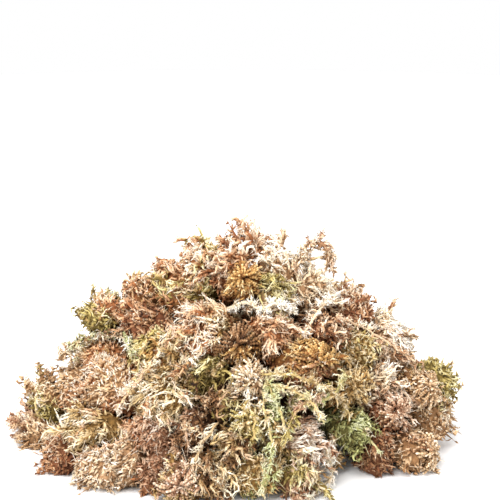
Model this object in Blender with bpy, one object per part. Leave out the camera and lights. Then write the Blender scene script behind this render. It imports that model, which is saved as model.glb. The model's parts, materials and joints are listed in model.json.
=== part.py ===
"""A loose heap of dried sphagnum moss, as it lies when tipped out in a pile.

Every tuft, leafy head, felted mat and single strand of the heap is one solid.
Each keeps to its own space: the space between two neighbours is parted by the
plane where their power distances are equal, and nothing reaches over it. So
branches that would cross a neighbour are bent clear of it along that plane.
"""
import math

import bpy
import numpy as np

# Lengths here are in millimetres; meshes are scaled to metres when finished.
MM = 0.001

# Driving dimensions of the heap
HALF_WIDTH = 112.0
DEPTH_BACK = 72.0
DEPTH_FRONT = 76.0
DEPTH_FRONT_RIGHT = 58.0
RIGHT_STARTS, RIGHT_FULL = 10.0, 60.0
HEIGHT = 104.0
FALL = 1.8
HEART_SHARE = 0.35
NEAR_PEAK = 0.05

# How a tuft's body sits in the heap's surface: leafy heads stand out more
SUNK = 0.6
HEAD_SUNK = 0.2
BODY_SHARE = 0.9
INWARD_REACH = 46.0
JOIN_SHARE = 0.8
BODY_RINGS = (38, 78, 122)
BODY_SIDES = 7
LUMP = 0.16
ROUGH = 0.1
SPREAD = 0.45
GROUNDED_BELOW = 17.0
LEAST_REACH = 0.4
FLAT_TOP = 0.9
FACES_BACK = 0.3
HALF_GAP = 0.17
FLOOR_GAP = 0.05

# Branches: number, length, root radius, spread from the tuft's axis in
# degrees, share of the length left at full thickness, droop along the sweep
KINDS = {
    "head": (13, (5.0, 7.5), 1.5, 86, 0.62, 0.25),
    "shaggy": (12, (10.0, 15.0), 1.5, 86, 0.5, 1.1),
    "mat": (16, (6.0, 9.5), 1.4, 84, None, 0.7),
    "back": (14, (9.0, 14.0), 1.6, 88, None, 0.8),
}
ROOT_DEPTH = 4.0
CROWDED = 0.62
STRAY = 0.18
TURN_STRAY = 0.25
KNEE_LEAN = 0.35
TIP_OUTWARD = 0.6
TIP_THICK = 0.2
LEAST_SHOWN = 1.0
KNEE_TAPER = 0.9

# Strands: radius of the stem, of the space it keeps, spacing of its rings
STEM_RADIUS = 1.7
STRAND_SPACE = 3.0
STRAND_STEP = 4.5
STRAND_CLEAR = 2.1
STRAND_SIDES = 5
TWIG_LENGTH = (5.0, 8.0)
TWIG_RADIUS = 0.85
TWIG_LEAN = 0.6
TWIG_SHOWN = 1.5
END_TAPER = 0.8

# Dried moss colours: linear RGB and roughness
TONES = {
    "straw": (0.56, 0.42, 0.17),
    "peach": (0.55, 0.30, 0.17),
    "rust": (0.34, 0.14, 0.06),
    "gold": (0.47, 0.25, 0.06),
    "olive": (0.29, 0.27, 0.07),
    "green": (0.42, 0.44, 0.13),
    "cream": (0.68, 0.56, 0.36),
    "taupe": (0.26, 0.17, 0.11),
    "felt": (0.47, 0.33, 0.20),
}
ROUGHNESS = 0.9

# Every tuft: kind, tone, sweep of its branches as a clock angle in degrees
# seen from outside (0 is up the heap, 90 to the right), and one or more
# places on the heap: x, height, radius
FRONT_TUFTS = {
    "crown_tuft": ("shaggy", "rust", 320, [(0, 105, 10)]),
    "high_left_tuft": ("shaggy", "straw", 215, [(-23, 99, 13), (-38, 89, 8)]),
    "upper_peach_tuft": ("shaggy", "peach", 200, [(-7, 100, 9)]),
    "upper_gold_head": ("head", "gold", 180, [(-1, 92, 7)]),
    "pale_shoulder_tuft": ("shaggy", "cream", 50, [(20, 98, 12)]),
    "upper_olive_tuft": ("shaggy", "olive", 160, [(13, 88, 10)]),
    "pale_right_tuft": ("shaggy", "cream", 110, [(33, 88, 9)]),
    "right_rust_tuft": ("mat", "rust", 110, [(55, 76, 11)]),
    "right_curl_tuft": ("shaggy", "peach", 150, [(73, 58, 12)]),
    "right_olive_tuft": ("mat", "olive", 170, [(54, 59, 10)]),
    "left_spiky_head": ("head", "peach", 200, [(-54, 79, 8)]),
    "left_outlier_tuft": ("mat", "olive", 280, [(-77, 72, 10)]),
    "left_rust_tuft": ("shaggy", "rust", 240, [(-55, 71, 9)]),
    "left_amber_tuft": ("mat", "gold", 250, [(-76, 52, 11)]),
    "left_olive_tuft": ("shaggy", "olive", 200, [(-49, 61, 9)]),
    "centre_rust_tuft": ("shaggy", "peach", 215, [(-19, 73, 13), (-29, 62, 9)]),
    "centre_olive_tuft": ("shaggy", "olive", 190, [(-18, 56, 9)]),
    "mid_gold_head": ("head", "gold", 180, [(-3, 68, 8)]),
    "mid_brown_tuft": ("shaggy", "peach", 190, [(12, 74, 10)]),
    "big_gold_head": ("head", "gold", 160, [(25, 58, 10), (37, 57, 6)]),
    "dark_right_tuft": ("shaggy", "taupe", 160, [(39, 70, 9)]),
    "gold_button_head": ("head", "gold", 180, [(50, 44, 7)]),
    "pink_right_tuft": ("shaggy", "peach", 150, [(66, 40, 9)]),
    "amber_right_head": ("head", "gold", 120, [(86, 34, 8)]),
    "right_end_tuft": ("mat", "felt", 120, [(97, 22, 13), (102, 36, 8)]),
    "red_head": ("head", "rust", 180, [(70, 30, 7)]),
    "green_tuft": ("shaggy", "green", 190, [(52, 25, 10)]),
    "right_low_tuft": ("mat", "rust", 150, [(66, 15, 9)]),
    "right_foot_head": ("head", "rust", 140, [(83, 9, 9)]),
    "bristly_hang_tuft": ("shaggy", "peach", 180, [(25, 24, 9), (24, 9, 7)]),
    "cream_head": ("head", "cream", 180, [(1, 53, 8)]),
    "olive_head": ("head", "olive", 180, [(1, 36, 8)]),
    "brown_bristle_tuft": ("shaggy", "taupe", 190, [(-11, 45, 8)]),
    "straw_fall_tuft": ("shaggy", "straw", 175, [(-39, 43, 12)]),
    "taupe_tuft": ("mat", "taupe", 200, [(-25, 32, 11)]),
    "pink_mat_tuft": ("mat", "peach", 190, [(-46, 28, 10), (-46, 13, 8)]),
    "felt_mat_tuft": ("mat", "felt", 250, [(-71, 44, 12), (-92, 34, 12)]),
    "gold_tip_tuft": ("shaggy", "gold", 280, [(-106, 26, 8)]),
    "far_left_tuft": ("shaggy", "peach", 265, [(-112, 10, 10)]),
    "left_wave_tuft": ("shaggy", "straw", 210, [(-78, 23, 11)]),
    "left_low_tuft": ("mat", "rust", 210, [(-94, 5, 9)]),
    "white_cushion_tuft": ("mat", "cream", 190, [(-72, 5, 11), (-57, 15, 9)]),
    "front_head": ("head", "straw", 180, [(-32, 8, 9)]),
    "straw_arch_tuft": ("shaggy", "straw", 160, [(-6, 27, 8)]),
    "cream_brush_tuft": ("shaggy", "cream", 185, [(-17, 15, 8)]),
    "front_underside_tuft": ("mat", "taupe", 180, [(5, 13, 10), (15, 31, 8)]),
}
BACK_TUFTS = {
    "back_crown_tuft": ("back", "peach", 180, [(-14, 94, 12), (8, 92, 12)]),
    "back_high_left_tuft": ("back", "felt", 160, [(-32, 76, 14), (-54, 62, 13)]),
    "back_high_right_tuft": ("back", "straw", 200, [(22, 75, 14), (44, 66, 13)]),
    "back_left_tuft": ("back", "olive", 150, [(-76, 42, 14), (-91, 18, 14)]),
    "back_middle_tuft": ("back", "rust", 180, [(-36, 45, 14), (-12, 54, 15), (10, 49, 14)]),
    "back_right_tuft": ("back", "peach", 200, [(37, 42, 14), (65, 40, 14), (84, 19, 14)]),
    "back_low_left_tuft": ("back", "straw", 170, [(-64, 16, 14), (-40, 18, 14), (-16, 24, 15)]),
    "back_low_right_tuft": ("back", "felt", 190, [(8, 18, 14), (32, 17, 14), (58, 16, 14)]),
}

# Single strands that lie over the front of the heap or arch above it: tone
# and the x and height of the points that each follows
STRANDS = {
    "arch_strand": ("cream", [(24, 97), (29, 106), (35, 110), (39, 108), (42, 98), (44, 92)]),
    "crinkled_strand": ("cream", [(-1, 81), (9, 84), (17, 82), (25, 84), (32, 83)]),
    "ribbon_strand": ("green", [(-95, 47), (-87, 55), (-74, 60), (-62, 62), (-50, 60)]),
    "drape_strand": ("green", [(23, 44), (32, 46), (41, 43), (47, 37), (50, 29)]),
    "hanging_strand": ("green", [(10, 53), (13, 46), (13, 36), (16, 25), (14, 14), (9, 5)]),
    "curled_strand": ("straw", [(43, 22), (41, 15), (45, 9), (44, 3)]),
}


def front_depth(x):
    """Depth of the heap's front at x: it is shallower towards the right."""
    t = min(max((x - RIGHT_STARTS) / (RIGHT_FULL - RIGHT_STARTS), 0.0), 1.0)
    return DEPTH_FRONT + (DEPTH_FRONT_RIGHT - DEPTH_FRONT) * t * t * (3 - 2 * t)


def place_on_heap(x, height, side):
    """Point on the heap at x and height on its front (-1) or back (1), and its outward normal.

    The heap's height falls from HEIGHT as the FALL power of the distance
    from its middle, counted in half-widths and depths.
    """
    depth = DEPTH_BACK if side > 0 else front_depth(x)
    reach = max(1 - height / HEIGHT, 0.0) ** (1 / FALL)
    y = side * depth * math.sqrt(max(reach ** 2 - (x / HALF_WIDTH) ** 2, 0.0))
    rho = max(math.hypot(x / HALF_WIDTH, y / depth), NEAR_PEAK)
    slope = HEIGHT * FALL * rho ** (FALL - 2)
    normal = np.array([slope * x / HALF_WIDTH ** 2, slope * y / depth ** 2, 1.0])
    return np.array([x, y, height], float), normal / np.linalg.norm(normal)


class Site:
    """One centre of a tuft or strand, with the radius that weighs its space."""

    def __init__(self, owner, centre, radius, outward):
        self.owner = owner
        self.centre = centre
        self.radius = radius
        self.outward = outward
        self.siblings = []


def tuft_sites(name, kind, places, side):
    """The sites of one tuft, each sunk a little into the heap's surface."""
    sunk = HEAD_SUNK if kind == "head" else SUNK
    sites = []
    for x, height, radius in places:
        point, normal = place_on_heap(x, height, side)
        centre = point - normal * radius * sunk
        centre[2] = max(centre[2], radius * SUNK)
        sites.append(Site(name, centre, radius * BODY_SHARE, normal))
    for site in sites:
        site.siblings = [other.centre - site.centre for other in sites if other is not site]
    return sites


def smooth_path(points, step):
    """Points about step apart on the Catmull-Rom curve through the given points."""
    p = np.array(points, float)
    p = np.vstack([2 * p[0] - p[1], p, 2 * p[-1] - p[-2]])
    fine = []
    for a, b, c, d in zip(p[:-3], p[1:-2], p[2:-1], p[3:]):
        for t in np.linspace(0, 1, 12, endpoint=False):
            fine.append(0.5 * (2 * b + (c - a) * t + (2 * a - 5 * b + 4 * c - d) * t ** 2
                               + (3 * b - a - 3 * c + d) * t ** 3))
    fine = np.array(fine + [p[-2]])
    run = np.concatenate([[0], np.cumsum(np.linalg.norm(np.diff(fine, axis=0), axis=1))])
    at = np.linspace(0, run[-1], max(int(round(run[-1] / step)), 2) + 1)
    return np.stack([np.interp(at, run, fine[:, k]) for k in range(p.shape[1])], axis=1)


def draped(points, tufts):
    """A strand's path through points of x and height, laid on the front of the tufts.

    Each point comes forward until it clears every tuft by STRAND_CLEAR. Where
    no tuft stands behind it, the strand spans freely between its neighbours.
    """
    flat = smooth_path(points, STRAND_STEP)
    y = np.full(len(flat), np.nan)
    for k, (x, z) in enumerate(flat):
        for site in tufts:
            beside = math.hypot(x - site.centre[0], z - site.centre[2])
            keep = site.radius + STRAND_CLEAR
            if beside < keep and site.outward[1] < FACES_BACK:
                front = site.centre[1] - math.sqrt(keep ** 2 - beside ** 2)
                y[k] = front if math.isnan(y[k]) else min(y[k], front)
    held = ~np.isnan(y)
    places = np.arange(len(flat))
    y = np.interp(places, places[held], y[held])
    eased = np.convolve(np.pad(y, 1, mode="edge"), [0.25, 0.5, 0.25], mode="valid")
    y = np.minimum(y, eased)
    z = np.maximum(flat[:, 1], STEM_RADIUS + FLOOR_GAP)
    return np.stack([flat[:, 0], y, z], axis=1)


def half_spaces(site, sites):
    """Planes n.x <= d that part the site from the sites of every other piece."""
    normals, limits = [[0.0, 0.0, -1.0]], [0.0]
    for other in sites:
        if other.owner == site.owner:
            continue
        across = other.centre - site.centre
        far = np.linalg.norm(across)
        normal = across / far
        reach = (far ** 2 + site.radius ** 2 - other.radius ** 2) / (2 * far)
        normals.append(normal)
        limits.append(normal @ site.centre + reach - HALF_GAP)
    return np.array(normals), np.array(limits)


def room(origin, direction, planes, margin=0.0):
    """How far a ray goes before it meets one of the planes."""
    normals, limits = planes
    along = normals @ direction
    left = limits - margin - normals @ origin
    ahead = along > 1e-6
    return float(np.min(left[ahead] / along[ahead])) if ahead.any() else 1e9


def bent_clear(point, origin, planes, margin):
    """The point moved inside all planes by the margin, and towards origin if that fails."""
    normals, limits = planes
    point = point.copy()
    for _ in range(12):
        over = normals @ point - (limits - margin)
        worst = int(np.argmax(over))
        if over[worst] <= 0:
            return point
        point -= normals[worst] * (over[worst] + 0.02)
    away = point - origin
    length = np.linalg.norm(away)
    return origin + away / length * min(length, 0.97 * room(origin, away / length, planes, margin))


def frame_for(direction):
    """Two unit vectors square to the direction and to each other."""
    helper = np.array([0.0, 0.0, 1.0]) if abs(direction[2]) < 0.8 else np.array([1.0, 0.0, 0.0])
    side = np.cross(direction, helper)
    side /= np.linalg.norm(side)
    return side, np.cross(direction, side)


def new_object(name, verts, faces):
    """An object in millimetres made from points and faces."""
    mesh = bpy.data.meshes.new(name)
    mesh.from_pydata([tuple(v) for v in verts], [], faces)
    mesh.update()
    obj = bpy.data.objects.new(name, mesh)
    bpy.context.scene.collection.objects.link(obj)
    return obj


def body_reach(site, direction, wave):
    """Radius of a tuft's body along a direction: round outside, drawn out towards the heart."""
    heart = np.array([site.centre[0] / 2, 0.0, HEART_SHARE * site.centre[2]])
    inward = heart - site.centre
    inward /= np.linalg.norm(inward)
    towards = max(0.0, float(direction @ inward))
    lumps = 1 + LUMP * math.sin(3.1 * wave + 7 * direction[0] + 6 * direction[1] * direction[2])
    beside = 1 - float(direction @ site.outward) ** 2
    reach = site.radius * (lumps + SPREAD * beside)
    reach += (INWARD_REACH - site.radius) * towards ** 1.5
    if site.centre[2] < GROUNDED_BELOW and direction[2] < -0.5:
        reach = max(reach, site.centre[2] / -direction[2])
    for across in site.siblings:
        far = np.linalg.norm(across)
        alike = max(0.0, float(direction @ across) / far)
        reach = max(reach, far * JOIN_SHARE * alike ** 2)
    return reach


def body_of_tuft(site, planes, wave, rings):
    """The tuft's body: a ball drawn inwards, cut back to the tuft's own space."""
    points, faces = rings
    rough = np.random.default_rng(int(wave * 100)).uniform(1 - ROUGH, 1 + ROUGH, len(points))
    side, over = frame_for(site.outward)
    verts = []
    for (polar, turn), uneven in zip(points, rough):
        flat = side * math.cos(turn) + over * math.sin(turn)
        direction = site.outward * math.cos(polar) + flat * math.sin(polar)
        reach = min(body_reach(site, direction, wave) * uneven, room(site.centre, direction, planes))
        verts.append(site.centre + direction * max(reach, LEAST_REACH))
    return new_object("body", verts, faces)


def branch(points, radii, sides=3):
    """A closed tapered branch through the points; the last point is its tip."""
    verts, faces = [], []
    for k in range(len(points) - 1):
        along = points[k + 1] - points[max(k - 1, 0)]
        side, over = frame_for(along / np.linalg.norm(along))
        for i in range(sides):
            turn = 2 * math.pi * i / sides
            verts.append(points[k] + radii[k] * (side * math.cos(turn) + over * math.sin(turn)))
    verts.append(points[-1])
    tip = len(verts) - 1
    faces.append(tuple(range(sides))[::-1])
    for k in range(len(points) - 2):
        for i in range(sides):
            a, b = k * sides + i, k * sides + (i + 1) % sides
            faces.append((a, b, b + sides))
            faces.append((a, b + sides, a + sides))
    last = (len(points) - 2) * sides
    for i in range(sides):
        faces.append((last + i, last + (i + 1) % sides, tip))
    return new_object("branch", verts, faces)


def sweep_direction(outward, clock):
    """Direction in the heap's surface at a clock angle, seen from outside."""
    up = np.array([0.0, 0.0, 1.0])
    if outward[2] > FLAT_TOP:
        up = np.array([0.0, 1.0, 0.3])
    up = up - outward * (up @ outward)
    up /= np.linalg.norm(up)
    right = np.cross(up, outward)
    return up * math.cos(math.radians(clock)) + right * math.sin(math.radians(clock))


def tuft_branches(site, planes, kind, clock, rng, wave):
    """The leafy branches that stand out of one site of a tuft, spread evenly by the golden angle."""
    count, lengths, thick, spread, full_share, droop = KINDS[kind]
    straight = full_share is None
    full_share = full_share or 0.5
    sweep = sweep_direction(site.outward, clock)
    side, over = frame_for(site.outward)
    low = math.cos(math.radians(spread))
    made = []
    for i in range(count):
        lift = 1 - (i + 0.5) / count * (1 - low)
        turn = i * math.pi * (3 - math.sqrt(5)) + rng.uniform(-TURN_STRAY, TURN_STRAY)
        flat = math.sqrt(1 - lift ** 2)
        out = site.outward * lift + (side * math.cos(turn) + over * math.sin(turn)) * flat
        length = rng.uniform(*lengths)
        stray = rng.normal(0, STRAY, 3)
        free = min(body_reach(site, out, wave), room(site.centre, out, planes))
        if free < CROWDED * site.radius:
            continue
        depth = min(ROOT_DEPTH, free / 2)
        root = site.centre + out * (free - depth)
        first = out + sweep * droop * KNEE_LEAN + stray
        first /= np.linalg.norm(first)
        second = out * TIP_OUTWARD + sweep * droop + stray
        second /= np.linalg.norm(second)
        knee = root + first * (depth + length * full_share)
        tip = knee + second * length * (1 - full_share)
        root = bent_clear(root, site.centre, planes, thick)
        knee = bent_clear(knee, site.centre, planes, thick)
        tip = bent_clear(tip, site.centre, planes, TIP_THICK)
        if np.linalg.norm(knee - root) < depth + LEAST_SHOWN:
            continue
        if np.linalg.norm(tip - knee) < LEAST_SHOWN:
            continue
        if straight or i % 2:
            made.append(branch([root, tip], [thick]))
        else:
            made.append(branch([root, knee, tip], [thick, KNEE_TAPER * thick]))
    return made


def strand_solids(path, planes_of, rng):
    """A strand's stem through its sites, and the small branches along it."""
    count = len(path)
    radii = [STEM_RADIUS * (END_TAPER if k in (0, count - 2) else 1.0) for k in range(count - 1)]
    stem = branch(list(path), radii, STRAND_SIDES)
    twigs = []
    for k in range(1, count - 1):
        along = path[k + 1] - path[k - 1]
        side, over = frame_for(along / np.linalg.norm(along))
        turn = rng.uniform(0, 2 * math.pi)
        for half_turn in (0, math.pi):
            out = side * math.cos(turn + half_turn) + over * math.sin(turn + half_turn)
            out = out + along / np.linalg.norm(along) * TWIG_LEAN
            tip = path[k] + out / np.linalg.norm(out) * rng.uniform(*TWIG_LENGTH)
            tip = bent_clear(tip, path[k], planes_of[k], TIP_THICK)
            if np.linalg.norm(tip - path[k]) > STEM_RADIUS + TWIG_SHOWN:
                twigs.append(branch([path[k] * 0.9 + tip * 0.1, tip], [TWIG_RADIUS]))
    return stem, twigs


def keep_largest_body(mesh):
    """Drops the loose scraps that a union can leave, and keeps the largest piece."""
    links = [[] for _ in mesh.vertices]
    for edge in mesh.edges:
        a, b = edge.vertices
        links[a].append(b)
        links[b].append(a)
    group = [-1] * len(links)
    sizes = []
    for start in range(len(links)):
        if group[start] >= 0:
            continue
        group[start] = len(sizes)
        todo, size = [start], 0
        while todo:
            at = todo.pop()
            size += 1
            for near in links[at]:
                if group[near] < 0:
                    group[near] = len(sizes)
                    todo.append(near)
        sizes.append(size)
    if len(sizes) < 2:
        return mesh
    best = sizes.index(max(sizes))
    kept = [i for i in range(len(links)) if group[i] == best]
    renumbered = {old: new for new, old in enumerate(kept)}
    verts = [tuple(mesh.vertices[i].co) for i in kept]
    faces = [tuple(renumbered[v] for v in face.vertices) for face in mesh.polygons
             if group[face.vertices[0]] == best]
    clean = bpy.data.meshes.new(mesh.name)
    clean.from_pydata(verts, [], faces)
    return clean


def is_closed(mesh):
    """Whether every edge of the mesh joins two faces."""
    uses = {}
    for face in mesh.polygons:
        for key in face.edge_keys:
            uses[key] = uses.get(key, 0) + 1
    return all(count == 2 for count in uses.values())


def union_mesh(base, union):
    """The mesh that the union modifier gives on base, or None if it doesn't close."""
    for solver in ("MANIFOLD", "EXACT"):
        union.solver = solver
        bpy.context.view_layer.update()
        evaluated = base.evaluated_get(bpy.context.evaluated_depsgraph_get())
        mesh = bpy.data.meshes.new_from_object(evaluated)
        if is_closed(mesh):
            return mesh
    return None


def fused(name, bodies, repeats):
    """One solid from the bodies and everything that grows from them, by one union.

    Where the union doesn't close, a branch is left out and it is made again.
    """
    base, others = bodies[0], bodies[1:] + repeats
    group = bpy.data.collections.new(name + "_repeats")
    bpy.context.scene.collection.children.link(group)
    for obj in others:
        bpy.context.scene.collection.objects.unlink(obj)
        group.objects.link(obj)
    union = base.modifiers.new("union", "BOOLEAN")
    union.operation = "UNION"
    union.operand_type = "COLLECTION"
    union.collection = group
    mesh = union_mesh(base, union)
    for spare in repeats:
        if mesh:
            break
        group.objects.unlink(spare)
        mesh = union_mesh(base, union)
        group.objects.link(spare)
    for obj in others + [base]:
        bpy.data.objects.remove(obj, do_unlink=True)
    bpy.data.collections.remove(group)
    mesh = keep_largest_body(mesh)
    mesh.name = name
    solid = bpy.data.objects.new(name, mesh)
    bpy.context.scene.collection.objects.link(solid)
    return solid


def finish_material(name, tone):
    """Dull dried moss in the piece's own tone."""
    material = bpy.data.materials.new(name)
    material.use_nodes = True
    shader = material.node_tree.nodes["Principled BSDF"]
    shader.inputs["Base Color"].default_value = (*TONES[tone], 1.0)
    shader.inputs["Roughness"].default_value = ROUGHNESS
    shader.inputs["Metallic"].default_value = 0.0
    return material


def turned_rings():
    """Polar angle and turn of each point of a round body, and its faces: rings between two poles."""
    points = [(0.0, 0.0)]
    for number, polar in enumerate(BODY_RINGS):
        for i in range(BODY_SIDES):
            points.append((math.radians(polar), 2 * math.pi * (i + 0.5 * number) / BODY_SIDES))
    points.append((math.pi, 0.0))
    faces = []
    for i in range(BODY_SIDES):
        j = (i + 1) % BODY_SIDES
        faces.append((0, 1 + i, 1 + j))
        for number in range(len(BODY_RINGS) - 1):
            a, b = 1 + number * BODY_SIDES, 1 + (number + 1) * BODY_SIDES
            faces.append((a + i, b + i, a + j))
            faces.append((a + j, b + i, b + j))
        last = 1 + (len(BODY_RINGS) - 1) * BODY_SIDES
        faces.append((last + i, len(points) - 1, last + j))
    return points, faces


def centred(objects):
    """Moves the heap so that the middle of its box's underside is the origin, in metres."""
    points = []
    for obj in objects:
        co = np.empty(len(obj.data.vertices) * 3)
        obj.data.vertices.foreach_get("co", co)
        points.append(co.reshape(-1, 3))
    everything = np.vstack(points)
    low, high = everything.min(axis=0), everything.max(axis=0)
    shift = np.array([(low[0] + high[0]) / 2, (low[1] + high[1]) / 2, 0.0])
    for obj, co in zip(objects, points):
        obj.data.vertices.foreach_set("co", ((co - shift) * MM).ravel())
        obj.data.update()


def build():
    for obj in list(bpy.data.objects):
        bpy.data.objects.remove(obj, do_unlink=True)
    rings = turned_rings()

    recipes = {**FRONT_TUFTS, **BACK_TUFTS}
    tufts = []
    for name, recipe in recipes.items():
        tufts += tuft_sites(name, recipe[0], recipe[3], -1 if name in FRONT_TUFTS else 1)
    paths = {name: draped(points, tufts) for name, (tone, points) in STRANDS.items()}
    sites = list(tufts)
    for name, path in paths.items():
        sites += [Site(name, point, STRAND_SPACE, None) for point in path]

    solids = []
    for index, (name, (kind, tone, clock, places)) in enumerate(recipes.items()):
        rng = np.random.default_rng(100 + index)
        bodies, repeats = [], []
        for number, site in enumerate(s for s in tufts if s.owner == name):
            planes = half_spaces(site, sites)
            wave = index + 0.37 * number
            bodies.append(body_of_tuft(site, planes, wave, rings))
            repeats += tuft_branches(site, planes, kind, clock, rng, wave)
        solid = fused(name, bodies, repeats)
        solid.data.materials.clear()
        solid.data.materials.append(finish_material(name, tone))
        solids.append(solid)

    for index, (name, (tone, points)) in enumerate(STRANDS.items()):
        rng = np.random.default_rng(500 + index)
        planes_of = [half_spaces(s, sites) for s in sites if s.owner == name]
        stem, twigs = strand_solids(paths[name], planes_of, rng)
        solid = fused(name, [stem], twigs)
        solid.data.materials.clear()
        solid.data.materials.append(finish_material(name, tone))
        solids.append(solid)

    centred(solids)


build()
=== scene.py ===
"""Looks for a loose heap of dried sphagnum moss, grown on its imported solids.

Each solid of the heap is replaced by one finer piece of the same form. Its
tufts are combed strands that carry small leaves, its heads are rosettes of
scaly fingers, its mats are fine bristles, and its strands are leafy stems.
"""
import json
import math

import bpy
import numpy as np
from bpy.props import FloatProperty, FloatVectorProperty, IntProperty, PointerProperty
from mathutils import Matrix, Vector
from mathutils.bvhtree import BVHTree

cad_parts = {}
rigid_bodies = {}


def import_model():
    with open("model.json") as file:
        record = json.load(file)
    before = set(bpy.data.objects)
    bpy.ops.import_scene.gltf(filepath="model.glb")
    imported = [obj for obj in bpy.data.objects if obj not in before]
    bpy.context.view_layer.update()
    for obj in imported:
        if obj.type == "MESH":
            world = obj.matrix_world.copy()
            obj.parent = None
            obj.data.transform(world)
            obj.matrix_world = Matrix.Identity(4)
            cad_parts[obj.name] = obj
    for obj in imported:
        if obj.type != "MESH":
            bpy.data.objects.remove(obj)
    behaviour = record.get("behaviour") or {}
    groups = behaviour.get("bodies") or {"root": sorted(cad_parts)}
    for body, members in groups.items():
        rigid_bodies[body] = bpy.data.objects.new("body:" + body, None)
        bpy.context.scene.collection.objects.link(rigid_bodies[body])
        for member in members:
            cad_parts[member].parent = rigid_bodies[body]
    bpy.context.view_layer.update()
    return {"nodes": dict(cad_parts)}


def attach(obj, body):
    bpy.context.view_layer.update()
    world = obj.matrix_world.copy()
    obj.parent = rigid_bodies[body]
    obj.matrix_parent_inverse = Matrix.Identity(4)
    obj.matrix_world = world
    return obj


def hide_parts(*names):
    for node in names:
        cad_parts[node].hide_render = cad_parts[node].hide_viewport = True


bl_info = {
    "name": "Dried Sphagnum Heap",
    "version": (1, 0, 0),
    "blender": (4, 5, 0),
    "location": "View3D > Sidebar > Moss",
    "description": "Dresses the solids of a heap of dried moss with strands, leaves and hairs",
    "category": "Add Mesh",
}

for leftover in list(bpy.data.objects):
    bpy.data.objects.remove(leftover, do_unlink=True)
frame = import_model()
MM = 0.001

# Colours of dried moss by family, in sRGB: the darker root, which the ramp darkens further
# into painted shade, the body of a strand, and its bleached tip
COLOURS = {
    "straw": ("#8e6a36", "#d2b684", "#fcf5e0"),
    "peach": ("#9e633a", "#dab28a", "#fbf2e2"),
    "rust": ("#824e30", "#be936c", "#f5e4cc"),
    "gold": ("#8a582a", "#c89e60", "#f8e6b8"),
    "olive": ("#74602a", "#c0ac6a", "#f6eec4"),
    "green": ("#706836", "#babc7e", "#f4f5d0"),
    "cream": ("#a8805a", "#ead6b6", "#fffcf6"),
    "taupe": ("#54341c", "#986e48", "#dcc2a0"),
    "felt": ("#9c724a", "#d8b992", "#fcf4e4"),
    "pink": ("#926446", "#d3b193", "#faf0e2"),
}

# Sizes of a strand in each kind of piece, in millimetres: shortest, longest,
# radius of its stem, spacing of the roots, length and width of a leaf
STRAND_SIZES = {
    "shaggy": (6.0, 11.0, 0.6, 2.25, 2.3, 0.75),
    "combed": (7.0, 13.0, 0.5, 2.15, 2.5, 0.75),
    "head": (3.5, 6.0, 0.45, 2.7, 1.6, 0.65),
    "mat": (2.8, 5.5, 0.38, 1.85, 1.6, 0.65),
    "back": (8.0, 14.0, 0.75, 3.6, 3.0, 1.1),
    "stem": (3.0, 5.5, 0.4, 1.5, 1.9, 0.7),
}
SIZE_NAMES = ("shortest", "longest", "radius", "spacing", "leaf_length", "leaf_width")

# How a kind's strands lie: lift off the surface, combing, pull to the tips of
# the branches, curl, and stray of a whole lock and of one strand in it; then
# the leaves on each strand and its steps
STRAND_WAYS = {
    "shaggy": (0.5, 0.9, 0.35, 0.9, 0.4, 0.25, 6, 7),
    "combed": (0.42, 1.1, 0.3, 0.8, 0.3, 0.2, 7, 7),
    "head": (0.6, 0.5, 0.3, 0.3, 0.3, 0.2, 4, 5),
    "mat": (0.5, 0.7, 0.15, 1.1, 0.4, 0.45, 3, 5),
    "back": (0.5, 0.8, 0.35, 0.9, 0.4, 0.25, 5, 6),
    "stem": (0.5, 0.6, 0.5, 1.0, 0.4, 0.4, 4, 6),
}

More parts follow.
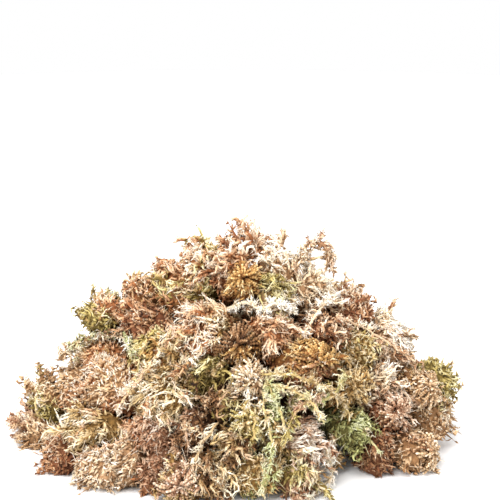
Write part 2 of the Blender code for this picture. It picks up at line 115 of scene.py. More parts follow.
# Every piece: kind, main family, second family, share of the second, and the
# clock angle that its strands are combed to, seen from outside
PIECES = {
    "crown_tuft": ("shaggy", "rust", "peach", 0.5, 320),
    "high_left_tuft": ("shaggy", "olive", "peach", 0.45, 215),
    "upper_peach_tuft": ("shaggy", "peach", "rust", 0.3, 200),
    "upper_gold_head": ("head", "gold", "rust", 0.3, 180),
    "pale_shoulder_tuft": ("shaggy", "cream", "felt", 0.3, 50),
    "upper_olive_tuft": ("combed", "cream", "olive", 0.4, 160),
    "pale_right_tuft": ("combed", "cream", "peach", 0.3, 110),
    "right_rust_tuft": ("mat", "rust", "gold", 0.4, 110),
    "right_curl_tuft": ("combed", "cream", "rust", 0.45, 150),
    "right_olive_tuft": ("mat", "olive", "straw", 0.5, 170),
    "left_spiky_head": ("head", "peach", "straw", 0.5, 200),
    "left_outlier_tuft": ("mat", "peach", "olive", 0.5, 280),
    "left_rust_tuft": ("shaggy", "peach", "rust", 0.4, 240),
    "left_amber_tuft": ("mat", "gold", "peach", 0.5, 250),
    "left_olive_tuft": ("shaggy", "olive", "gold", 0.5, 200),
    "centre_rust_tuft": ("combed", "peach", "straw", 0.45, 215),
    "centre_olive_tuft": ("shaggy", "taupe", "olive", 0.5, 190),
    "mid_gold_head": ("head", "gold", "taupe", 0.5, 180),
    "mid_brown_tuft": ("shaggy", "peach", "rust", 0.3, 190),
    "big_gold_head": ("head", "gold", "rust", 0.45, 160),
    "dark_right_tuft": ("shaggy", "rust", "taupe", 0.5, 160),
    "gold_button_head": ("head", "gold", "straw", 0.5, 180),
    "pink_right_tuft": ("shaggy", "cream", "pink", 0.5, 150),
    "amber_right_head": ("head", "gold", "felt", 0.5, 120),
    "right_end_tuft": ("mat", "felt", "olive", 0.45, 120),
    "red_head": ("head", "rust", "pink", 0.6, 180),
    "green_tuft": ("shaggy", "green", "straw", 0.4, 190),
    "right_low_tuft": ("mat", "rust", "taupe", 0.5, 150),
    "right_foot_head": ("head", "felt", "rust", 0.4, 140),
    "bristly_hang_tuft": ("combed", "pink", "olive", 0.4, 180),
    "cream_head": ("head", "cream", "straw", 0.3, 180),
    "olive_head": ("head", "olive", "straw", 0.5, 180),
    "brown_bristle_tuft": ("shaggy", "olive", "taupe", 0.5, 190),
    "straw_fall_tuft": ("combed", "peach", "straw", 0.5, 175),
    "taupe_tuft": ("mat", "taupe", "pink", 0.5, 200),
    "pink_mat_tuft": ("mat", "pink", "peach", 0.5, 190),
    "felt_mat_tuft": ("mat", "felt", "peach", 0.45, 250),
    "gold_tip_tuft": ("mat", "olive", "felt", 0.5, 280),
    "far_left_tuft": ("shaggy", "felt", "pink", 0.5, 265),
    "left_wave_tuft": ("combed", "straw", "peach", 0.5, 210),
    "left_low_tuft": ("mat", "peach", "rust", 0.5, 210),
    "white_cushion_tuft": ("mat", "cream", "pink", 0.3, 190),
    "front_head": ("head", "straw", "pink", 0.4, 180),
    "straw_arch_tuft": ("shaggy", "taupe", "straw", 0.5, 160),
    "cream_brush_tuft": ("combed", "straw", "taupe", 0.4, 185),
    "front_underside_tuft": ("mat", "straw", "green", 0.4, 180),
    "back_crown_tuft": ("back", "peach", "straw", 0.5, 180),
    "back_high_left_tuft": ("back", "felt", "rust", 0.4, 160),
    "back_high_right_tuft": ("back", "straw", "peach", 0.4, 200),
    "back_left_tuft": ("back", "olive", "felt", 0.5, 150),
    "back_middle_tuft": ("back", "rust", "peach", 0.5, 180),
    "back_right_tuft": ("back", "peach", "pink", 0.5, 200),
    "back_low_left_tuft": ("back", "straw", "olive", 0.4, 170),
    "back_low_right_tuft": ("back", "felt", "pink", 0.4, 190),
    "arch_strand": ("stem", "cream", "pink", 0.5, 90),
    "crinkled_strand": ("stem", "cream", "straw", 0.2, 90),
    "ribbon_strand": ("stem", "cream", "green", 0.4, 90),
    "drape_strand": ("stem", "straw", "olive", 0.4, 120),
    "hanging_strand": ("stem", "straw", "green", 0.5, 180),
    "curled_strand": ("stem", "straw", "cream", 0.5, 180),
}

# Hollows between the tufts, with painted shade and shorter strands: middle and radius,
# in millimetres
HOLLOWS = np.array((
    (5.6, -45.7, 66.4, 6), (10.4, -49.5, 60.7, 5), (-35.4, -31.0, 64.7, 5), (-33.3, -35.0, 58.4, 5),
    (-11.6, -55.0, 35.3, 6), (-12.3, -63.9, 30.9, 5), (-81.7, -43.1, 6.7, 6), (-48.1, -55.7, 20.2, 6),
    (66.0, -40.0, 20.0, 9), (53.8, -38.5, 38.0, 6), (-4.5, -46.9, 56.7, 7), (-16.3, -51.0, 56.7, 5),
    (32.2, -20.7, 68.9, 6), (46.7, -27.5, 63.5, 6), (-27.3, -12.4, 75.5, 6), (-40.1, -60.0, 24.6, 4),
))

# Leafy ropes that run over the heap: the piece that each belongs to, how far
# its leaves spread, how many strands it has, how pale it is, and the points
# that it passes, in millimetres
ROPES = (
    ("drape_strand", 1, 90, 0.1,
     ((11.3, -52, 57.6), (24, -56, 59.1), (36.9, -55, 54.7), (48.2, -50, 46.7), (56, -44, 33.9))),
    ("drape_strand", 0.9, 70, 0.15,
     ((14, -53, 53.6), (26, -57, 52.2), (37, -59, 46), (41, -62, 38))),
    ("bristly_hang_tuft", 1.2, 70, 0,
     ((45.7, -50, 49.7), (36.9, -56, 47), (29.2, -62, 42.3), (24.5, -66, 31.8))),
    ("bristly_hang_tuft", 1.3, 76, 0.05,
     ((35, -48, 51), (30, -46, 46), (26.8, -45, 40), (28, -48, 34), (31, -55, 27))),
    ("hanging_strand", 0.9, 50, 0.05,
     ((16, -54, 53.3), (19.8, -58, 45.8), (22.6, -64, 39.1), (26.4, -66, 29.8))),
    ("curled_strand", 1, 90, 0.25,
     ((44, -54, 20.5), (45.5, -54, 15.5), (46.6, -53, 10.6), (46.8, -53, 4.5), (44.2, -59, 2.4),
      (38.2, -66, 2.2), (34.5, -71, 2.2))),
    ("front_underside_tuft", 1, 90, 0.1,
     ((13, -56, 51), (15, -62, 40), (18, -67, 28), (16, -72, 15), (12, -74, 6))),
    ("crinkled_strand", 0.9, 90, 0.3,
     ((-4.2, -24, 80.4), (4.6, -28, 85.3), (13.3, -34, 84.7), (21, -34, 87.2), (28.8, -30, 81.3))),
    ("pale_right_tuft", 1.1, 70, 0.2,
     ((46.8, -20, 85.2), (40.7, -26, 80), (34.7, -32, 72.8), (30.7, -38, 64.7))),
    ("green_tuft", 1.1, 50, 0,
     ((53, -46, 56.4), (49.6, -50, 49.7), (43.7, -54, 45.2), (35.1, -56, 43.9))),
    ("straw_fall_tuft", 1.1, 80, 0.2,
     ((-33.9, -37, 66.5), (-41, -42, 58.5), (-47, -40, 49), (-52, -42, 43), (-57, -44, 35))),
    ("cream_brush_tuft", 1.2, 60, 0.2,
     ((-7, -60, 37), (-13.8, -68, 30), (-18.3, -71, 21), (-20.8, -75, 11))),
    ("olive_head", 1.3, 60, -0.05,
     ((11.3, -52, 33.5), (13.3, -54, 27.2), (15.2, -56, 21.3), (16.1, -58, 12.9))),
    ("pink_mat_tuft", 1.2, 46, 0,
     ((-30.6, -58, 27.1), (-27, -60, 21.9), (-23.8, -61, 17), (-21.9, -62, 11.4))),
    ("right_curl_tuft", 1.2, 80, 0.1,
     ((48.9, -31, 80), (59, -16, 71), (69, -12, 64), (81, -14, 56.5), (91, -14, 49))),
)

# From here lengths are in millimetres, angles in degrees, and a pair is the
# range of a random draw, unless a comment says otherwise

# Strands
STRAND_SIDES = 3
STRAND_TAPER = (0.95, 1.1, 1.1, 1.0, 0.8, 0.5)  # radius from root to tip, as shares
STRAND_THICKS = (0.75, 1.2)
ROOT_SUNK = 0.6
ROUNDED = 0.6  # how far a root leans away from the piece's middle
LEAST_ROOM = 0.4  # length in the dark, as a share
COMB_START = 0.35  # combing at the root, which grows by 1 to the tip
CURL_START = 0.3  # curl at the root, which grows by 1 to the tip
CURL_UP = 0.25  # share of the curl that goes up and down
DIP = 0.3
CRINKLE = 0.45

# Locks of strands
LOCK_STRANDS = 7
LOCK_CLING = 0.05  # pull to the lock's middle for each millimetre off it
LOCK_TURN = 42
LOCK_LENGTHS = (0.65, 1.35)
LOCK_CURLS = (0.4, 1.3)
LOCK_WAVES = (3, 10)  # turn of the curl along a strand, in radians
PHASE_STRAY = 0.5  # radians

# Branch tips that strands are drawn to
TIP_REACH = 8.0
TIP_SPREAD = 1.1
TIP_FADE = 2.5  # off the tip, where the pull starts to fade
POINTED = 0.88  # how alike the edges' directions are at a tip
LEAST_FINGER = 1.2  # from a tip to the ring behind it

# Leaves
LEAF_ANGLE = 24
LEAF_ANGLE_STRAY = 9
LEAF_SPAN = (0.08, 0.88)  # the first one's place, and their span along the stem
LEAF_LENGTHS = (0.7, 1.2)
LEAF_FOOT = 0.6  # off the stem's axis, as a share of its radius
KEEL = (0.45, 0.32)  # place along the leaf, and height as a share of its width
GOLDEN_ANGLE = math.pi * (3 - math.sqrt(5))  # radians

# Leaves on the surface itself
GROUND_SPACING = 2.1
GROUND_LEAF = 3.6
GROUND_LEAF_WIDTH = 2.0
GROUND_LENGTHS = (0.7, 1.3)
GROUND_STRAY = 0.6
GROUND_LIFT = (0.15, 0.7)
GROUND_SUNK = 0.2
GROUND_SHADE = 0.28
GROUND_PAINTED_SHADE = 0.2  # painted shade: what the coordinate loses in the dark
GROUND_SHADE_STRAY = 0.06
GROUND_TIP = (0.1, 0.28)  # how much lighter the keel and the tip are

# Leafy ropes
ROPE_STEPS = 6  # between two points
ROPE_STEM = 0.6
ROPE_SIDES = 5
ROPE_WOBBLE = 0.35
ROPE_TONE = 0.35  # shade of the stem
ROPE_DROOP = 0.4
ROPE_LEAVES = 5
ROPE_THICKS = (0.8, 1.2)
ROPE_SHADES = (0.3, 0.82)  # of the strands, at root and tip
ROPE_SHADE_STRAY = 0.1
ROPE_MIX = (0.2, 0.8)
ROPE_FAMILY = (0.5, 0.4)  # of the stem, and of the leaves on it

# Ropes that wander over the heap
WANDER_KINDS = ("shaggy", "combed", "mat", "head")
WANDER_STEP = 3.5
WANDER_STEPS = (5, 9)
WANDER_STRAY = 0.6  # of the way at the start
WANDER_TURN = 0.3  # of the way at each step
WANDER_FALL = 0.12
WANDER_HEIGHT = 1.6
WANDER_REACH = 12.0  # over and under the rope, where the surface is looked for
WANDER_STRANDS = 4  # to a step
WANDER_SPREAD = 0.9
WANDER_ROPE_STEPS = 2
WANDER_PALE = (0.0, 0.25)

# Scaly fingers of a head
FINGERS = 64
FINGER_STEPS = 9
FINGER_SIDES = 4
FINGER_RADIUS = 0.95
FINGER_THICKS = (0.8, 1.1)
FINGER_BLUNT = 0.55
FINGER_PITCH = 1.4
FINGER_REACH = (0.68, 0.9)
FINGER_AIM = 9  # how strongly the branches near a finger set its reach
FINGER_TURN = 0.2  # most that a turn strays, in radians
FINGER_STRAY = 0.18
FINGER_ROOT = 0.45  # from the head's middle, as a share of the reach
FINGER_SHADE = 0.14
FINGER_LIGHTER = 0.46
FINGER_SHADE_STRAY = 0.08
KNEE_OUT = 0.6  # how far a knee leans to the head's axis
KNEE_STRAY = 0.15
HEAD_DEPTH = 2.0
HEAD_SPREAD = 105
HEAD_TILT = 0.6  # how far a head's axis leans the way it is combed
ASKEW = (0.3, 0.5, 0.8)  # a way that no head faces

# Layers of leaves on a finger
VALLEY = 0.72  # radius between two layers, as a share
RAGGED = (0.85, 1.2)
LAYER_START = 0.1  # stretch before the first, in layers
LAYER_SPARE = 0.4  # stretch that isn't layers, in layers
LAST_TIP = 0.985

# Hairs that stand off
HAIR_SHARE = 0.05  # of the strands
HAIR_LENGTHS = (5, 12)
HAIR_RADIUS = 0.11
HAIR_STEPS = 5
HAIR_SIDES = 3
HAIR_STRAY = 0.6
HAIR_BOW = (0.1, 0.5)
HAIR_SHADES = (0.55, 0.9)
HAIR_FAMILY = 0.5

# What is in the open, and how far points are moved off their place
WELD = 2e-6  # metres between corners that are merged
PEEL = 0.15  # off the surface, where a ray starts
CLEAR = 1.2  # in front of a place that is seen
SIGHT_RAYS = 6
SIGHT_SPREAD = 0.95
FAR_AWAY = 0.4  # metres
LOWEST_SIGHT = -0.15  # slope of the lowest ray that counts
OPEN_GAIN = 1.35
# Painted shade and shorter strands in the hollows
HOLLOW_SHADE_AND_DEPTH = 0.95
# Painted shade at the foot of each piece, where its strands are also shorter
FOOT_PAINTED_SHADE_AND_SHORTENING = 0.55
FLAT_TOP = 0.9  # rise of a normal that faces up
CORE_SHRINK = 0.35
FLOOR_SOFT = 0.8  # height below which points are eased off the floor

# Colour coordinate: 0 is the darkest painted shade below the root, 1 the bleached tip
ROOT_SHADE = 0.36
TIP_SHADE = 0.96
ROOT_PAINTED_SHADE = 0.27  # painted shade: what the root's coordinate loses in the dark
TIP_PAINTED_SHADE = 0.7  # painted shade: what the tip's coordinate loses in the dark
SHADE_STRAY = 0.05
LOCK_SHADE = 0.14
PATCH_SHADE = 0.18
LEAF_LIGHTER = 0.15
LEAF_TONES = (0.4, 1.2)
# Painted shade under each layer of a finger's leaves
UNDER_LEAF_PAINTED_SHADE = 0.1
# Painted shade: the piece's solid is coloured dark, a little lighter near the branch tips
CORE_PAINTED_SHADE = 0.12
CORE_TIP_SHADE = 0.12
CORE_TIP_REACH = 3.5
CORE_PATCH = 0.3

# Second coordinate, from the main family to the second, and the patches
FAMILY_STRAY = 0.07
LOCK_FAMILY = 0.15
PATCH_FAMILY = 0.4
FAMILY_RANGE = (0.03, 0.97)  # it is kept within these
PATCH_SIZE = 9.0
PATCH_WAVES = 5
PATCH_GAIN = 1.6
UV_WIDTH = 0.012
UV_RANGE = (0.004, 0.996)  # both coordinates are kept within these
UV_NAME = "OFBake"

# Material
MOTTLE = 2.5
CELL = 0.35
DARKEST = 0.15  # share of the root's colour that is left at coordinate 0, as the painted shade of the deepest places
ROOT_STOP = 0.2
BODY_STOP = 0.5

# Stage, in metres: what the lights and the camera turn to, and each light's
# place, size and power setting
HEAP_MIDDLE = np.array([0.0, 0.0, 0.03])
LIGHT_AIM = (0, 0, 0.05)
CAMERA_AIM = (0.0075, 0.0, 0.104)
LIGHTS = (
    ("key light", (-0.4, -0.65, 1.05), 0.9, "key_power"),
    ("fill light", (0.8, -0.5, 0.6), 0.8, "fill_power"),
    ("back light", (0.1, 0.9, 0.9), 0.8, "fill_power"),
)


def linear(hex_code):
    """Linear RGB of an sRGB hex colour."""
    channels = [int(hex_code[i:i + 2], 16) / 255 for i in (1, 3, 5)]
    return tuple(c / 12.92 if c <= 0.04045 else ((c + 0.055) / 1.055) ** 2.4 for c in channels)


def colour_properties():
    """Annotations for the three colours of every family."""
    made = {}
    for family, codes in COLOURS.items():
        for part, code in zip(("root", "body", "tip"), codes):
            made[f"{family}_{part}"] = FloatVectorProperty(
                name=f"{family.capitalize()} {part}",
                description=f"Colour of the {part} of a {family} strand",
                subtype="COLOR", size=3, min=0, max=1, default=linear(code))
    return made


def size_properties():
    """Annotations for the sizes of every kind of strand, in metres."""
    made = {}
    for kind, sizes in STRAND_SIZES.items():
        for part, size in zip(SIZE_NAMES, sizes):
            made[f"{kind}_{part}"] = FloatProperty(
                name=f"{kind.capitalize()} {part.replace('_', ' ')}",
                description=f"The {part.replace('_', ' ')} of the strands of a {kind} piece",
                default=size * MM, min=0.00005, max=0.05, precision=5, unit="LENGTH")
    return made


class MossColours(bpy.types.PropertyGroup):
    """Colours of the dried moss, by family."""

    __annotations__ = colour_properties()


class MossSizes(bpy.types.PropertyGroup):
    """Sizes of the strands and leaves, by kind of piece."""

    __annotations__ = size_properties()


class MossStage(bpy.types.PropertyGroup):
    """Camera and light."""

    lens: FloatProperty(name="Lens", description="Focal length of the camera",
                        default=108, min=20, max=300, unit="CAMERA")
    tilt: FloatProperty(name="Camera tilt", description="How far the camera looks down",
                        default=math.radians(16), min=0, max=1.5, subtype="ANGLE")
    distance: FloatProperty(name="Distance", description="From the camera to the heap",
                            default=0.75, min=0.3, max=5, unit="LENGTH")
    key_power: FloatProperty(name="Key light", description="Power of the main soft light",
                             default=26, min=0, max=100, unit="POWER")
    fill_power: FloatProperty(name="Fill light", description="Power of the soft light opposite",
                              default=4, min=0, max=100, unit="POWER")
    surround: FloatProperty(name="Surround", description="Light that the pale surround gives",
                            default=0.85, min=0, max=5)
    floor: FloatProperty(name="Floor", description="Radius of the white floor",
                         default=1.2, min=0.3, max=10, unit="LENGTH")
    seed: IntProperty(name="Seed", description="Start of the random draws", default=7, min=0)


def unit(vectors):
    """The vectors divided by their lengths."""
    return vectors / np.maximum(np.linalg.norm(vectors, axis=-1, keepdims=True), 1e-12)


def corners_of(node):
    """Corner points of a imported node's triangles, as an array (triangle, corner, axis)."""
    mesh = frame["nodes"][node].data
    points = np.empty(len(mesh.vertices) * 3)
    mesh.vertices.foreach_get("co", points)
    mesh.calc_loop_triangles()
    index = np.empty(len(mesh.loop_triangles) * 3, np.int32)
    mesh.loop_triangles.foreach_get("vertices", index)
    return points.reshape(-1, 3)[index.reshape(-1, 3)]


def welded(corners):
    """Points and faces of loose triangles after their equal corners are merged."""
    flat = corners.reshape(-1, 3)
    keys = np.round(flat / WELD).astype(np.int64)
    _, first, index = np.unique(keys, axis=0, return_index=True, return_inverse=True)
    faces = index.reshape(-1, 3)
    whole = (faces[:, 0] != faces[:, 1]) & (faces[:, 1] != faces[:, 2]) & (faces[:, 2] != faces[:, 0])
    return flat[first], faces[whole]


def point_normals(points, faces):
    """Normal at each point: the sum of its faces' normals, each as long as its face is large."""
    a, b, c = (points[faces[:, k]] for k in range(3))
    cross = np.cross(b - a, c - a)
    normals = np.zeros_like(points)
    for k in range(3):
        np.add.at(normals, faces[:, k], cross)
    return unit(normals)


def branch_ends(points, faces):
    """Tips of a solid's branches and the middle of the ring behind each.

    A point is a tip where the mean of the unit vectors to its neighbours is
    nearly as long as one of them, so all its edges run back the same way.
    """
    edges = np.concatenate([faces[:, [0, 1]], faces[:, [1, 2]], faces[:, [2, 0]]])
    count = np.maximum(np.bincount(edges[:, 0], minlength=len(points)), 1)[:, None]
    lean, ring = np.zeros_like(points), np.zeros_like(points)
    np.add.at(lean, edges[:, 0], unit(points[edges[:, 1]] - points[edges[:, 0]]))
    np.add.at(ring, edges[:, 0], points[edges[:, 1]])
    ring = ring / count
    pointed = np.linalg.norm(lean / count, axis=1) > POINTED
    pointed &= np.linalg.norm(points - ring, axis=1) > LEAST_FINGER * MM
    return points[pointed], ring[pointed]


def heap_tree():
    """All solids of the heap as one tree for finding what stands in front of a point."""
    corners = np.concatenate([corners_of(node) for node in PIECES])
    points = [Vector(p) for p in corners.reshape(-1, 3)]
    return BVHTree.FromPolygons(points, np.arange(len(points)).reshape(-1, 3).tolist())


def free(tree, starts, ways, reach):
    """Whether a ray from each start goes as far as reach without meeting the heap."""
    return np.array([tree.ray_cast(Vector(s), Vector(w), reach)[0] is None
                     for s, w in zip(starts, ways)], bool)


def open_places(tree, corners, spacing, rng):
    """Random points on the triangles that are seen from outside: places, normals and open shares.

    A triangle's share of the points is its share of the area, and a point in
    it is a + r (b - a) + r s (c - b), with r the root of a draw and s a draw.
    The open share of a place is how many of some rays from it leave the heap.
    """
    a, b, c = corners[:, 0], corners[:, 1], corners[:, 2]
    cross = np.cross(b - a, c - a)
    area = np.linalg.norm(cross, axis=1) / 2
    pick = rng.choice(len(area), size=int(area.sum() / spacing ** 2), p=area / area.sum())
    r = np.sqrt(rng.random((len(pick), 1)))
    s = rng.random((len(pick), 1))
    places = a[pick] + r * (b - a)[pick] + r * s * (c - b)[pick]
    normals = unit(cross[pick])
    clear = free(tree, places + normals * PEEL * MM, normals, CLEAR * MM)
    places, normals = places[clear], normals[clear]
    starts = places + normals * PEEL * MM
    share = np.zeros(len(places))
    for _ in range(SIGHT_RAYS):
        ways = unit(normals + unit(rng.normal(0, 1, normals.shape)) * SIGHT_SPREAD)
        share += free(tree, starts, ways, FAR_AWAY) & (ways[:, 2] > LOWEST_SIGHT)
    share /= SIGHT_RAYS
    seen = share > 0
    return places[seen], normals[seen], share[seen]


def sweep_direction(outward, clock):
    """Direction in the heap's surface at a clock angle: 0 is up, or to the back on a flat top."""
    up = np.array([0.0, 0.0, 1.0]) if outward[2] < FLAT_TOP else np.array([0.0, 1.0, 0.3])
    up = unit(up - outward * (up @ outward))
    right = np.cross(up, outward)
    return up * math.cos(math.radians(clock)) + right * math.sin(math.radians(clock))


def patchy(places, seed):
    """A smooth value from -1 to 1 at each place, from waves a few patches long."""
    rng = np.random.default_rng(seed)
    waves = rng.normal(0, 1, (PATCH_WAVES, 3)) / (PATCH_SIZE * MM)
    return np.sin(places @ waves.T + rng.uniform(0, 2 * math.pi, PATCH_WAVES)).mean(axis=1) * PATCH_GAIN


def hollowed(places, open_share):
    """Open share of each place, lowered as exp(-(d/r)^2) at d from the middle of a hollow; this paints
    shade there and shortens the strands.
    """
    apart = np.linalg.norm(places[:, None] - HOLLOWS[None, :, :3] * MM, axis=2)
    depth = np.exp(-(apart / (HOLLOWS[:, 3] * MM)) ** 2).max(axis=1)
    return open_share * (1 - HOLLOW_SHADE_AND_DEPTH * depth)


def light_at(open_share):
    """Light from 0 to 1: it is full where about three quarters of the sky is open."""
    return np.minimum(open_share * OPEN_GAIN, 1)


def above_foot(places, points):
    """Light that a piece leaves to its own places: 1 - s (1 - h)^1.5 at a share h of its height, with s
    the foot's painted shade; it darkens the colour low on the piece and shortens its strands there.
    """
    low = points[:, 2].min()
    high = points[:, 2].max()
    return 1 - FOOT_PAINTED_SHADE_AND_SHORTENING * (1 - (places[:, 2] - low) / (high - low)) ** 1.5


def locks_of(places, rng):
    """The lock that each strand belongs to: that of the nearest of some strands drawn at random."""
    number = max(len(places) // LOCK_STRANDS, 1)
    centres = places[rng.choice(len(places), number, replace=False)]
    return np.linalg.norm(places[:, None] - centres[None], axis=2).argmin(axis=1), number


def combed_paths(places, normals, sweep, tips, shortest, longest, ways, rng):
    """Paths of combed strands, as an array (strand, step, axis).

    Each step's heading is the normal times a rise of lift (1 - t)^1.3 - dip t^2,
    the sweep laid in the surface, waves to the side and up for curl, a pull to
    the nearest tip, and a pull to the middle of the strand's lock.
    """
    lift, comb, pull, curl, lock_stray, stray, _, steps = ways
    count = len(places)
    lock, number = locks_of(places, rng)
    lengths = rng.uniform(shortest, longest, count) * rng.uniform(*LOCK_LENGTHS, number)[lock]
    flat = unit(sweep - normals * (normals * sweep).sum(axis=1, keepdims=True))
    across = np.cross(normals, flat)
    turned = np.radians(rng.normal(0, LOCK_TURN, number))[lock][:, None]
    flat, across = (flat * np.cos(turned) + across * np.sin(turned),
                    across * np.cos(turned) - flat * np.sin(turned))
    phase = rng.uniform(0, 2 * math.pi, number)[lock] + rng.normal(0, PHASE_STRAY, count)
    turns = rng.uniform(*LOCK_WAVES, number)[lock]
    curls = curl * rng.uniform(*LOCK_CURLS, number)[lock]
    strays = rng.normal(0, lock_stray, (number, 3))[lock] + rng.normal(0, stray, (count, 3))
    apart = np.linalg.norm(tips[None] - places[:, None], axis=2)
    near = apart.min(axis=1)
    drawn = pull * (near < TIP_REACH * MM)
    target = tips[apart.argmin(axis=1)] + rng.normal(0, TIP_SPREAD * MM, (count, 3))
    members = np.bincount(lock, minlength=number)[:, None]
    at = places - normals * ROOT_SUNK * MM
    path = [at]
    for step in range(steps):
        t = (step + 0.5) / steps
        left = target - at
        strength = drawn * np.minimum(np.linalg.norm(left, axis=1) / (TIP_FADE * MM), 1)
        middle = np.zeros((number, 3))
        np.add.at(middle, lock, at)
        wave = curls * (CURL_START + t)
        rise = lift * (1 - t) ** 1.3 - DIP * t * t + CURL_UP * wave * np.cos(phase + turns * t)
        heading = normals * rise[:, None] + flat * comb * (COMB_START + t) + strays
        heading += across * (wave * np.sin(phase + turns * t))[:, None]
        heading += unit(left) * strength[:, None] + rng.normal(0, CRINKLE * t, (count, 3))
        heading += ((middle / members)[lock] - at) * LOCK_CLING / MM * t
        at = at + unit(heading) * (lengths / steps)[:, None]
        path.append(at)
    return np.stack(path, axis=1), lock


def tubes(paths, radii, turns, shades, families, rng):
    """Closed tubes along paths: a point at both ends and a ring at each step between.

    A ring's points are centre + radius (side cos a + over sin a), with an own
    radius and turn a for each point. Returns points, faces and UV places.
    """
    count = len(paths)
    rings, sides = turns.shape
    along = unit(np.gradient(paths, axis=1))
    helper = unit(rng.normal(0, 1, (count, 1, 3)))
    side = unit(np.cross(along, helper))
    over = np.cross(along, side)
    spoke = (side[:, 1:-1, None] * np.cos(turns)[None, ..., None]
             + over[:, 1:-1, None] * np.sin(turns)[None, ..., None])
    body = paths[:, 1:-1, None] + spoke * radii[..., None]
    body = body.reshape(count, rings * sides, 3)
    points = np.concatenate([paths[:, :1], body, paths[:, -1:]], axis=1)
    tones = np.repeat(shades[:, 1:-1], sides, axis=1)
    u = np.concatenate([shades[:, :1], tones, shades[:, -1:]], axis=1)
    wide = np.tile(np.cos(turns).ravel() * UV_WIDTH, (count, 1))
    v = families[:, None] + np.pad(wide, ((0, 0), (1, 1)))
    faces = []
    for i in range(sides):
        j = (i + 1) % sides
        faces.append((0, 1 + j, 1 + i))
        for ring in range(rings - 1):
            a, b = 1 + ring * sides, 1 + (ring + 1) * sides
            faces.append((a + i, a + j, b + i))
            faces.append((a + j, b + j, b + i))
        last = 1 + (rings - 1) * sides
        faces.append((last + i, last + j, last + sides))
    faces = np.array(faces)[None] + (np.arange(count) * points.shape[1])[:, None, None]
    return points.reshape(-1, 3), faces.reshape(-1, 3), np.stack([u, v], axis=-1).reshape(-1, 2)


def strands(paths, thick, shades, families, rng):
    """Stems of combed strands, swelling a little past the root and tapering to a point."""
    rings = paths.shape[1] - 2
    taper = np.interp(np.linspace(0, 1, rings), np.linspace(0, 1, len(STRAND_TAPER)), STRAND_TAPER)
    radii = thick[:, None, None] * taper[None, :, None] * np.ones((1, 1, STRAND_SIDES))
    turns = np.arange(STRAND_SIDES)[None] + 0.5 * np.arange(rings)[:, None]
    return tubes(paths, radii, 2 * math.pi * turns / STRAND_SIDES, shades, families, rng)


def even_turns(rings, sides):
    """The same even turns of the points of each ring."""
    return np.tile(2 * math.pi * np.arange(sides) / sides, (rings, 1))


def blades(foot, heading, out, beside, length, width):
    """Points of small keeled leaves: two at the foot, a raised keel and a tip, as a thin pyramid."""
    keel = foot + heading * length * KEEL[0] + out * width * KEEL[1]
    tip = foot + heading * length
    return np.stack([foot - beside * width / 2, foot + beside * width / 2, keel, tip], axis=-2)


def leaf_mesh(points, u, families):
    """Points, faces and UV places of leaves of four points each."""
    faces = np.array([(0, 3, 2), (3, 1, 2), (0, 2, 1), (0, 1, 3)])[None]
    faces = (faces + (np.arange(u.size // 4) * 4)[:, None, None]).reshape(-1, 3)
    v = families + np.array([-1, 1, 0, 0]) * UV_WIDTH + np.zeros_like(u)
    return points.reshape(-1, 3), faces, np.stack([u, v], axis=-1).reshape(-1, 2)


def leaves(paths, thick, number, length, width, shades, families, rng):
    """Leaves in a spiral along paths, tipped out from the stem by a slant."""
    count = len(paths)
    steps = paths.shape[1]
    spot = (np.arange(number) + rng.random((count, number))) / number * LEAF_SPAN[1] + LEAF_SPAN[0]
    at = spot * (steps - 1)
    low = np.minimum(at.astype(int), steps - 2)
    part = (at - low)[..., None]
    row = np.arange(count)[:, None]
    centre = paths[row, low] * (1 - part) + paths[row, low + 1] * part
    along = unit(paths[row, low + 1] - paths[row, low])
    helper = unit(rng.normal(0, 1, (count, 1, 3)))
    side = unit(np.cross(along, helper))
    over = np.cross(along, side)
    turn = (np.arange(number) * GOLDEN_ANGLE + rng.uniform(0, 2 * math.pi, (count, 1)))[..., None]
    out = side * np.cos(turn) + over * np.sin(turn)
    tilt = np.radians(rng.normal(LEAF_ANGLE, LEAF_ANGLE_STRAY, (count, number, 1)))
    heading = along * np.cos(tilt) + out * np.sin(tilt)
    size = length * rng.uniform(*LEAF_LENGTHS, (count, number, 1))
    foot = centre + out * thick[:, None, None] * LEAF_FOOT
    points = blades(foot, heading, out, np.cross(along, out), size, width)
    shade = shades[row, low] * (1 - part[..., 0]) + shades[row, low + 1] * part[..., 0]
    lighter = rng.uniform(*LEAF_TONES, (count, number, 1)) * LEAF_LIGHTER
    u = shade[..., None] + lighter * np.array([0.0, 0.0, 0.5, 1.0])
    return leaf_mesh(points, u, families[:, None, None])


def leafy(paths, thick, number, length, width, shades, families, rng):
    """Stems along paths and the leaves on them."""
    return [strands(paths, thick, shades, families, rng),
            leaves(paths, thick, number, length, width, shades, families, rng)]


def ground_leaves(places, normals, sweep, open_share, families, rng):
    """Leaves lying on the surface itself, so that none of it is bare between the strands."""
    count = len(places)
    flat = unit(sweep - normals * (normals @ sweep)[:, None] + rng.normal(0, GROUND_STRAY, (count, 3)))
    heading = unit(flat + normals * rng.uniform(*GROUND_LIFT, (count, 1)))
    beside = unit(np.cross(heading, normals))
    out = np.cross(beside, heading)
    size = GROUND_LEAF * MM * rng.uniform(*GROUND_LENGTHS, (count, 1))
    feet = places - normals * GROUND_SUNK * MM
    points = blades(feet, heading, out, -beside, size, GROUND_LEAF_WIDTH * MM)
    # Painted shade: ground leaves are darker where little of the sky is open
    painted_shade = 1 - light_at(open_share)
    shade = GROUND_SHADE - GROUND_PAINTED_SHADE * painted_shade + rng.normal(0, GROUND_SHADE_STRAY, count)
    return leaf_mesh(points, shade[:, None] + np.array([0.0, 0.0, *GROUND_TIP]), families[:, None])


